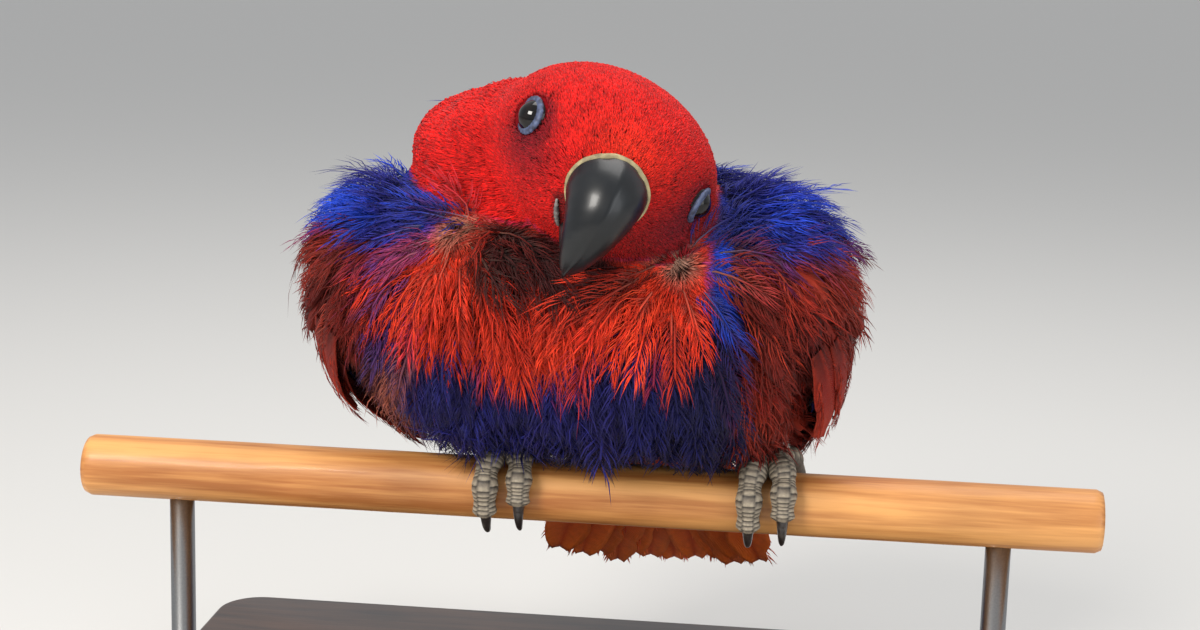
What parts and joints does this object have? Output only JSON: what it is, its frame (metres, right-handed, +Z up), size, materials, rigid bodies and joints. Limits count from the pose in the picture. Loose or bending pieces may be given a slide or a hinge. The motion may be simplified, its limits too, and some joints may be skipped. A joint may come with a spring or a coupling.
{
  "type": "eclectus parrot model",
  "caption": "Life-size still model of a female eclectus parrot, puffed up with its head cocked, on a wooden perch held by a plain display stand.",
  "frame": {"origin": "middle of the underside of the stand's base across its width, straight below the perch", "axes": "+Z up; the bird faces -Y; +X is the bird's own left and runs along the perch"},
  "size_m": [0.326, 0.1967, 0.2333],
  "materials": {
    "scarlet": "fine matt feathers",
    "crimson": "soft matt feathers, violet on the belly",
    "maroon": "satin feathers",
    "orange": "satin feathers",
    "bill": "semi-gloss horn",
    "eye": "wet gloss",
    "scutes": "matt scales",
    "claw": "semi-gloss horn",
    "metal": "worn",
    "wood": "plain dowel, fine grain",
    "stand_wood": "dark satin",
    "stand_rod": "satin"
  },
  "bodies": {
    "root": {"head": "scarlet", "neck": "scarlet", "torso": "crimson", "bill_upper": "bill", "bill_lower": "bill", "eye_left": "eye", "eye_right": "eye", "wing_left": "maroon", "wing_right": "maroon", "tail": "orange", "leg_left": "scutes", "claw_left_1": "claw", "claw_left_2": "claw", "claw_left_3": "claw", "claw_left_4": "claw", "leg_right": "scutes", "claw_right_1": "claw", "claw_right_2": "claw", "claw_right_3": "claw", "claw_right_4": "claw", "leg_band": "metal", "perch": "wood", "stand_base": "stand_wood", "stand_rod_left": "stand_rod", "stand_rod_right": "stand_rod"}
  },
  "joints": []
}
